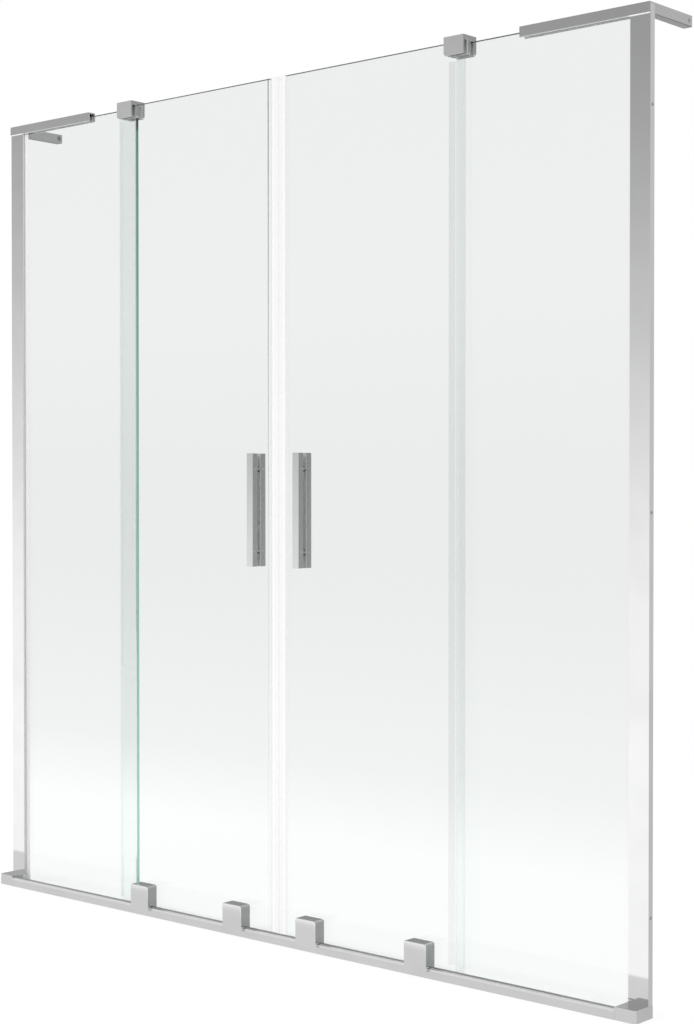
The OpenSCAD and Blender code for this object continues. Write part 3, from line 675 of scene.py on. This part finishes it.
def peg(start, end, radius, sides=32):
    """A round cutter or pin between two points, in millimetres, along X, Y or Z."""
    deselect()
    a, b = Vector(start) * MM, Vector(end) * MM
    turn = (b - a).to_track_quat("Z", "Y").to_euler()
    bpy.ops.mesh.primitive_cylinder_add(
        vertices=sides, radius=radius * MM, depth=(b - a).length, location=(a + b) / 2, rotation=turn)
    pin = bpy.context.object
    bpy.ops.object.transform_apply(location=True, rotation=True, scale=True)
    return pin


def soften(piece, width, segments):
    """Rounds the sharp edges of a finished shape a little, as every real edge is."""
    take(piece)
    rounding = piece.modifiers.new("rounding", "BEVEL")
    rounding.limit_method = "ANGLE"
    rounding.angle_limit = math.radians(40)
    rounding.width = width * MM
    rounding.segments = segments
    bpy.ops.object.modifier_apply(modifier="rounding")
    bpy.ops.object.shade_smooth_by_angle(angle=math.radians(35))


def flatten(piece):
    """Turns the shading of big faces back to flat, so that they mirror as plain faces do."""
    take(piece)
    if piece.data.has_custom_normals:
        bpy.ops.mesh.customdata_custom_splitnormals_clear()
    even = piece.modifiers.new("even", "WEIGHTED_NORMAL")
    even.weight = 100
    even.keep_sharp = True
    bpy.ops.object.modifier_apply(modifier="even")


def dress(piece, finish, body, slot, *nodes):
    """Gives a piece its finish, its body and the CAD nodes that it stands for."""
    flatten(piece)
    piece.data.materials.clear()
    piece.data.materials.append(finish)
    for face in piece.data.polygons:
        face.material_index = 0
    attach(piece, body)
    if nodes:
        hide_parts(*nodes)


def paint(piece, finish, test):
    """Gives the faces that pass the test a finish of their own."""
    piece.data.materials.append(finish)
    edit(piece, "FACE")
    pick_faces(test)
    piece.active_material_index = len(piece.data.materials) - 1
    bpy.ops.object.material_slot_assign()
    leave()


def mirrored(piece, name):
    """A copy of a right-hand piece on the left, turned outside out again."""
    take(piece)
    bpy.ops.object.duplicate(linked=False)
    twin = bpy.context.object
    twin.name = name
    bpy.ops.object.mode_set(mode="EDIT")
    bpy.ops.mesh.select_all(action="SELECT")
    bpy.ops.transform.mirror(constraint_axis=(True, False, False), center_override=(0, 0, 0))
    bpy.ops.mesh.normals_make_consistent(inside=False)
    leave()
    return twin


def size_of(node):
    """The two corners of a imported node's box, in millimetres."""
    low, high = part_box(node)
    return low / MM, high / MM


def tell(*pieces):
    """Prints what a cell made: the names, the sizes in millimetres and the counts of faces."""
    for piece in pieces:
        print(piece.name, [round(v / MM, 1) for v in piece.dimensions], len(piece.data.polygons), "faces")


# %% [markdown]
# ## Bottom rail
# The rail is one extrusion: a lip at the front with a bead for the rollers on its crest, a trough behind it,
# and a pocket for the fixed panes. Its section is drawn once and pulled out to its length.

# %% Rail
rail_low, rail_high = size_of("bottom_rail")
front, back = rail_low.y, rail_high.y
lip_height, bead_radius = 16, 2
lip, bead = front + 12, front + 6
sole, rib, rib_width = 2, 6, 2
glass_low = size_of("fixed_glass_right")[0].y
pocket_front, pocket_back = glass_low - 0.7, glass_low + 6.7
outline = [(front, 0), (front, lip_height)]
outline += arc((bead, lip_height), bead_radius, 180, 0, 12)
outline += [(lip, lip_height), (lip, sole), (pocket_front - rib_width, sole), (pocket_front - rib_width, rib),
            (pocket_front, rib), (pocket_front, sole), (pocket_back, sole), (pocket_back, rib), (back, rib),
            (back, 0)]
rail = section("rail_extrusion", outline, rail_low.x, rail_high.x - rail_low.x)
soften(rail, 0.5, 3)
# The rail's finish carries the painted highlight band along the top of its lip.
dress(rail, satin_rail_painted_highlight, "frame", "rail", "bottom_rail")
# The bead on the crest gets the painted dark reflection.
paint(rail, crest_painted_dark_reflection, lambda m, n: n.z > 0.45 and m.z > (lip_height - 0.3) * MM
      and abs(m.y - bead * MM) < (bead_radius + 0.2) * MM)
tell(rail)

# %% [markdown]
# ## Rail ends
# A cast block closes each end of the rail. It is taller than the lip, its outer front corner is rounded,
# and the fixed pane and the wall profile stand in a slot in its top.

# %% End blocks
low, high = size_of("rail_end_right")
corner, slot_end = 5, 726
end = block("rail_end_block_right", low, high)
edit(end)
pick_edges(lambda m, w: abs(w.z) > 0.9 and m.x > (high.x - 1) * MM and m.y < (low.y + 1) * MM)
bpy.ops.mesh.bevel(offset=corner * MM, segments=10, affect="EDGES")
leave()
slot_cut = block("slot_cut", (low.x - 2, pocket_front, sole), (slot_end, pocket_back, high.z + 10))
drill(end, [slot_cut])
soften(end, 0.7, 3)
left_end = mirrored(end, "rail_end_block_left")
dress(end, bright_end, "frame", "rail_end", "rail_end_right")
dress(left_end, bright_end, "frame", "rail_end", "rail_end_left")
for piece in (end, left_end):
    # The top gets its painted shade.
    paint(piece, end_top_painted_shade, lambda m, n: n.z > 0.9)
    # The slot in the block's top is painted light inside.
    paint(piece, recess_painted_light, lambda m, n: abs(n.y) > 0.9 and m.z > sole * MM
          and (glass_low - 1) * MM < m.y < (glass_low + 7) * MM)
tell(end, left_end)

# %% [markdown]
# ## Wall profiles
# Each profile is a slim channel, open towards the pane, with a small hook inside each leg that holds the
# gasket. The web at the wall has three screw holes.

# %% Profiles
low, high = size_of("wall_profile_right")
wall_face = high.x - 0.1
wall, hook, mouth = 1.6, 2.0, 2.1
wall_hole, wall_hole_heights = 2.6, (150, 750, 1350)
outline = [(low.x, low.y), (high.x, low.y), (high.x, high.y), (low.x, high.y), (low.x, high.y - mouth),
           (low.x + hook, high.y - mouth), (low.x + hook, high.y - wall), (high.x - wall, high.y - wall),
           (high.x - wall, low.y + wall), (low.x + hook, low.y + wall), (low.x + hook, low.y + mouth),
           (low.x, low.y + mouth)]
profile = section("wall_channel_right", outline, low.z, high.z - low.z, "XY")
middle = (low.y + high.y) / 2
drill(profile, [peg((high.x - 4, middle, z), (high.x + 2, middle, z), wall_hole) for z in wall_hole_heights])
soften(profile, 0.35, 2)
left_profile = mirrored(profile, "wall_channel_left")
dress(profile, polished_profile, "frame", "profile", "wall_profile_right")
dress(left_profile, polished_profile, "frame", "profile", "wall_profile_left")
for piece in (profile, left_profile):
    # The inside of the channel is painted light.
    paint(piece, recess_painted_light, lambda m, n: (low.y + 1.5) * MM < m.y < (high.y - 0.2) * MM and abs(n.z) < 0.5
          and abs(m.x) < (high.x - 1) * MM and n.y < 0.9)
tell(profile, left_profile)

# %% [markdown]
# ## Top braces
# The brace is a channel, open below, that sits on the fixed pane and turns along the wall. Its lower edges
# have a small chamfer, which carries a painted shade and a painted highlight.

# %% Braces
low, high = size_of("top_brace_right")
deep, wall, chamfer = 16.0, 2.0, 1.2
outline = [(low.y, low.z + chamfer), (low.y, high.z), (low.y + deep, high.z), (low.y + deep, low.z + chamfer),
           (low.y + deep - chamfer, low.z), (low.y + deep - wall, low.z), (low.y + deep - wall, high.z - wall),
           (low.y + wall, high.z - wall), (low.y + wall, low.z), (low.y + chamfer, low.z)]
brace = section("brace_right", outline, low.x, high.x - low.x)
leg = block("brace_leg", (high.x - deep, low.y + deep - wall, low.z), high)
edit(leg)
pick_edges(lambda m, w: abs(w.y) > 0.9 and m.z < (low.z + 1) * MM)
bpy.ops.mesh.bevel(offset=chamfer * MM, segments=1, affect="EDGES")
leave()
take(brace)
weld = brace.modifiers.new("weld", "BOOLEAN")
weld.operation = "UNION"
weld.object = leg
bpy.ops.object.modifier_apply(modifier="weld")
bpy.data.objects.remove(leg)
hole_y, hole_z = high.y - 9, (low.z + high.z) / 2
leg_hole, leg_sink, sink_depth = 2.75, 4.75, 3
drill(brace, [peg((high.x - deep - 1, hole_y, hole_z), (high.x + 1, hole_y, hole_z), leg_hole),
              peg((high.x - deep - 1, hole_y, hole_z), (high.x - deep + sink_depth, hole_y, hole_z), leg_sink)])
soften(brace, 0.3, 2)
left_brace = mirrored(brace, "brace_left")
dress(brace, polished_brace, "frame", "brace", "top_brace_right")
dress(left_brace, polished_brace, "frame", "brace", "top_brace_left")
for piece in (brace, left_brace):
    # The front chamfer gets its painted shade and highlight.
    paint(piece, brace_chamfer, lambda m, n: n.y < -0.4 and n.z < -0.3 and m.y < (low.y + 2) * MM)
    # The inside of the channel gets the painted light.
    paint(piece, brace_inside_painted_light, lambda m, n: (low.y + 1) * MM < m.y < (low.y + deep - 1) * MM
          and m.z < (high.z - 1) * MM and n.z < 0.5 and abs(m.x) < (high.x - 1) * MM)
    # The leg's inner face gets painted light and its outer face painted shade.
    paint(piece, leg_inner_painted_light, lambda m, n: abs(n.x) > 0.9 and m.y > (low.y + deep) * MM
          and abs(m.x) < (high.x - deep + 1) * MM)
    paint(piece, leg_outer_painted_shade, lambda m, n: abs(n.x) > 0.9 and m.y > (low.y + 1) * MM
          and abs(m.x) > (high.x - 1) * MM)
    # The leg's chamfer gets its painted shade.
    paint(piece, leg_chamfer_painted_shade, lambda m, n: n.z < -0.3 and m.y > (low.y + deep + 1) * MM)
    # The counterbore gets its painted shade.
    paint(piece, bore_painted_shade, lambda m, n: math.hypot(m.y - hole_y * MM, m.z - hole_z * MM) < (leg_sink + 0.05) * MM
          and (high.x - deep + 0.3) * MM < abs(m.x) < (high.x - 0.3) * MM)
tell(brace, left_brace)

# %% [markdown]
# ## Wall screws
# A pan head screw holds each leg and each profile at the wall. The head is a short cylinder; the shank is
# pulled out of one end, as far as the wall's face, and the drive is sunk into the other.

# %% Screws
HEAD_HEIGHT, DRIVE_DEPTH = 2.2, 1.2


def wall_screw(name, place, under, head, shank):
    """A screw along X: the head's underside at under, head and shank given as radii, in millimetres."""
    y, z = place
    pin = peg((under - HEAD_HEIGHT, y, z), (under, y, z), head, 24)
    pin.name = name
    edit(pin, "FACE")
    pick_faces(lambda m, n: n.x > 0.9)
    bpy.ops.mesh.inset(thickness=(head - shank) * MM)
    bpy.ops.mesh.extrude_region_move(TRANSFORM_OT_translate={"value": ((wall_face - under) * MM, 0, 0)})
    bpy.ops.mesh.select_all(action="DESELECT")
    pick_faces(lambda m, n: n.x < -0.9 and m.x < (under - 2) * MM)
    bpy.ops.mesh.inset(thickness=head / 2 * MM)
    bpy.ops.mesh.extrude_region_move(TRANSFORM_OT_translate={"value": (DRIVE_DEPTH * MM, 0, 0)})
    leave()
    soften(pin, 0.2, 2)
    twin = mirrored(pin, name.replace("right", "left"))
    for piece in (pin, twin):
        dress(piece, brushed_steel, "frame", "steel")
    tell(pin, twin)


wall_screw("wall_screw_brace_right", (hole_y, hole_z), high.x - deep + sink_depth, 4.4, 2.6)
for number, z in enumerate(wall_hole_heights):
    wall_screw(f"wall_screw_profile_{number}_right", (middle, z), high.x - 1.6, 3.9, 2.5)

# %% [markdown]
# ## Top guides
# A small bright block grips the fixed pane's top corner. Its second slot lets the sliding pane run, and the
# lower corners are rounded.

# %% Guides
low, high = size_of("top_guide_right")
pane_low, pane_high = size_of("door_glass_right")
fixed_low, fixed_high = size_of("fixed_glass_right")
slot_top, grip_top = pane_high.z + 3, pane_high.z + 2
grip_gap, slide_gap, round_corner = 1, 1.5, 6
outline = [(low.y, low.z), (low.y, high.z), (high.y, high.z), (high.y, low.z),
           (fixed_high.y + grip_gap, low.z), (fixed_high.y + grip_gap, grip_top),
           (fixed_low.y - grip_gap, grip_top), (fixed_low.y - grip_gap, low.z),
           (pane_high.y + slide_gap, low.z), (pane_high.y + slide_gap, slot_top),
           (pane_low.y - slide_gap, slot_top), (pane_low.y - slide_gap, low.z)]
guide = section("guide_block_right", outline, low.x, high.x - low.x)
edit(guide)
pick_edges(lambda m, w: abs(w.y) > 0.9 and m.z < (low.z + 1) * MM)
bpy.ops.mesh.bevel(offset=round_corner * MM, segments=10, affect="EDGES")
leave()
soften(guide, 0.5, 2)
left_guide = mirrored(guide, "guide_block_left")
dress(guide, bright_block, "frame", "guide", "top_guide_right")
dress(left_guide, bright_block, "frame", "guide", "top_guide_left")
for piece in (guide, left_guide):
    # Ends and underside get their painted shade.
    paint(piece, block_side_painted_shade, lambda m, n: abs(n.x) > 0.7)
    paint(piece, block_under_painted_shade, lambda m, n: n.z < -0.8 and m.z < (low.z + 3) * MM)
    # The slots are painted light inside.
    paint(piece, recess_painted_light, lambda m, n: abs(n.x) < 0.5 and (low.y + 1) * MM < m.y < (high.y - 1) * MM
          and (low.z + 1) * MM < m.z < (high.z - 1) * MM)
tell(guide, left_guide)

# %% [markdown]
# ## Panes
# Toughened glass is cut, drilled and ground before it is hardened. The ground edge has a small flat arris,
# so each pane is a box with its holes drilled, its edges bevelled, and its edges given their own finish.

# %% Panes of glass
def pane(name, node, body, face, side_edge, holes=()):
    """A pane in a node's box, with round holes given as X, Z and radius in millimetres."""
    low, high = size_of(node)
    sheet = block(name, low, high)
    drill(sheet, [peg((x, low.y - 2, z), (x, high.y + 2, z), r) for x, z, r in holes])
    soften(sheet, 0.5, 1)
    sheet.data.materials.append(face)
    paint(sheet, side_edge, lambda m, n: abs(n.y) < 0.9)
    # The top edges get the painted shade.
    paint(sheet, top_edge_painted_shade, lambda m, n: n.z > 0.6)
    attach(sheet, body)
    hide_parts(node)
    tell(sheet)


cover_low, cover_high = size_of("cover_outer_right")
inner_low, inner_high = size_of("cover_inner_right")
outer_x, inner_x = (cover_low.x + cover_high.x) / 2, (inner_low.x + inner_high.x) / 2
bar_low, bar_high = size_of("handle_front_right")
bar_x, bar_z = (bar_low.x + bar_high.x) / 2, (bar_low.z + bar_high.z) / 2
clamp_height, clamp_hole, stud_hole, half_pitch = 41, 8, 5, 71.5
for side, way, face, edge in (("right", 1, pane_face, pale_edge), ("left", -1, pane_face_left_painted_light, green_edge_painted_light)):
    holes = [(way * outer_x, clamp_height, clamp_hole), (way * inner_x, clamp_height, clamp_hole),
             (way * bar_x, bar_z - half_pitch, stud_hole), (way * bar_x, bar_z + half_pitch, stud_hole)]
    pane(f"sliding_pane_{side}", f"door_glass_{side}", f"door_{side}", pane_face, pale_edge, holes)
    pane(f"fixed_pane_{side}", f"fixed_glass_{side}", "frame", face, edge)

# %% [markdown]
# ## Handles
# Each handle is a pair of square bars, one on each face of the door. Their long edges are rounded, and two
# grub screws in the side of a bar lock it on the studs.

# %% Handle bars
def handle_bar(name, node, body):
    low, high = size_of(node)
    edge_radius, grub_hole = 1.4, 2.0
    bar = block(name, low, high)
    edit(bar)
    pick_edges(lambda m, w: abs(w.z) > 0.9)
    bpy.ops.mesh.bevel(offset=edge_radius * MM, segments=5, affect="EDGES")
    leave()
    y = (low.y + high.y) / 2
    drill(bar, [peg((high.x - 3, y, z), (high.x + 2, y, z), grub_hole, 24)
                for z in (bar_z - half_pitch, bar_z + half_pitch)])
    soften(bar, 0.4, 2)
    # The bars' finish carries the painted reflection, darker towards the top.
    dress(bar, bright_handle, body, "handle", node)
    # The face against the glass gets the pale pad tone, painted light in the gap.
    paint(bar, handle_pad, lambda m, n: (n.y > 0.9) if y < 0 else (n.y < -0.9))
    tell(bar)


for side in ("right", "left"):
    for face_name in ("front", "back"):
        handle_bar(f"handle_bar_{face_name}_{side}", f"handle_{face_name}_{side}", f"door_{side}")

# %% [markdown]
# ## Carriage covers
# A cast cap hides each roller. It is open at the back and below, its front skirt hangs before the rail's
# lip, and its upper corners are rounded. So the outline of its front is drawn, pulled out to the cap's depth,
# scribed to the lip and its bead, opened at the back and below, and given a wall.

# %% Covers
low, high = size_of("cover_outer_right")
corner, front_edge, thick = 4.0, 1.3, 2.2
outline = [(low.x, low.z)] + arc((low.x + corner, high.z - corner), corner, 180, 90, 8)
outline += arc((high.x - corner, high.z - corner), corner, 90, 0, 8) + [(high.x, low.z)]
cover = section("roller_cover_outer_right", outline, low.y, high.y - low.y, "XZ")
edit(cover)
pick_edges(lambda m, w: m.y < (low.y + 0.1) * MM and m.z > (low.z + 0.1) * MM)
bpy.ops.mesh.bevel(offset=front_edge * MM, segments=5, affect="EDGES")
leave()
ear, crest, rise, wing = 14.0, 16.6, 18.6, 2.6
under = section("under_cut", [
    (low.y + thick, low.z - 2), (low.y + thick, ear), (front - 1, ear), (front - 1, crest), (bead - wing, crest),
    (bead - wing, rise), (bead + wing, rise), (bead + wing, crest), (lip + 0.5, crest), (lip + 0.5, ear),
    (high.y + 2, ear), (high.y + 2, low.z - 2)], low.x - 2, high.x - low.x + 4)
drill(cover, [under])
edit(cover, "FACE")
pick_faces(lambda m, n: n.y > 0.9 or n.z < -0.6 or (n.y < -0.9 and m.y > front * MM))
bpy.ops.mesh.delete(type="FACE")
leave()
take(cover)
wall = cover.modifiers.new("wall", "SOLIDIFY")
wall.thickness = (thick - 0.1) * MM
wall.offset = -1
wall.use_even_offset = True
bpy.ops.object.modifier_apply(modifier="wall")
soften(cover, 0.4, 2)
dress(cover, bright_cover, "door_right", "cover", "cover_outer_right")
tell(cover)

# %% Copies of the cover
def copied(piece, name, shift):
    take(piece)
    bpy.ops.object.duplicate(linked=False)
    twin = bpy.context.object
    twin.name = name
    bpy.ops.object.mode_set(mode="EDIT")
    bpy.ops.mesh.select_all(action="SELECT")
    bpy.ops.transform.translate(value=Vector(shift) * MM)
    leave()
    return twin


inner = copied(cover, "roller_cover_inner_right", (inner_x - outer_x, 0, 0))
outer_left = mirrored(cover, "roller_cover_outer_left")
inner_left = mirrored(inner, "roller_cover_inner_left")
dress(inner, bright_cover, "door_right", "cover", "cover_inner_right")
dress(outer_left, bright_cover, "door_left", "cover", "cover_outer_left")
dress(inner_left, bright_cover, "door_left", "cover", "cover_inner_left")
for piece in (cover, inner, outer_left, inner_left):
    # The tops get their painted shade.
    paint(piece, cover_top, lambda m, n: n.z > 0.4 and m.z > (high.z - corner - 1) * MM)
    tell(piece)

# %% [markdown]
# ## The rest of the frame's nodes
# Seals, gaskets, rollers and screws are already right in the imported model, so they only get a finish.

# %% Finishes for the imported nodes
by_name = {
    # The left magnetic seal carries the painted reflection line.
    clip_strip_painted_reflection: ["magnetic_seal_left"],
    # The left gasket's pale body is painted light.
    pale_strip_painted_light: ["glazing_gasket_left"],
    clear_strip: ["magnetic_seal", "fin_seal", "drip_seal", "glazing_gasket"],
    smoky_strip: ["edge_seal"],
    magnet_tape: ["magnet_strip"],
    black_rubber: ["door_stops", "setting_blocks"],
    grey_nylon: ["guide_liner", "guide_pads", "brace_pads"],
    dark_moulding: ["carriage"],
    pale_steel: ["studs"],
    brushed_steel: ["screws", "pins", "axles", "clamp_sets", "roller"],
}
for name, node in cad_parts.items():
    found = [finish for finish, words in by_name.items() if any(word in name for word in words)]
    node.data.materials.clear()
    # Other nodes get the rail's metal, with its painted highlight band above 11.5 mm.
    node.data.materials.append(found[0] if found else satin_rail_painted_highlight)
print("packed nodes that stay:", [name for name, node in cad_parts.items() if not node.hide_render])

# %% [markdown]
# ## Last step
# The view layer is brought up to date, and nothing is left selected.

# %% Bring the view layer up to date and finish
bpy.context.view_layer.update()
deselect()
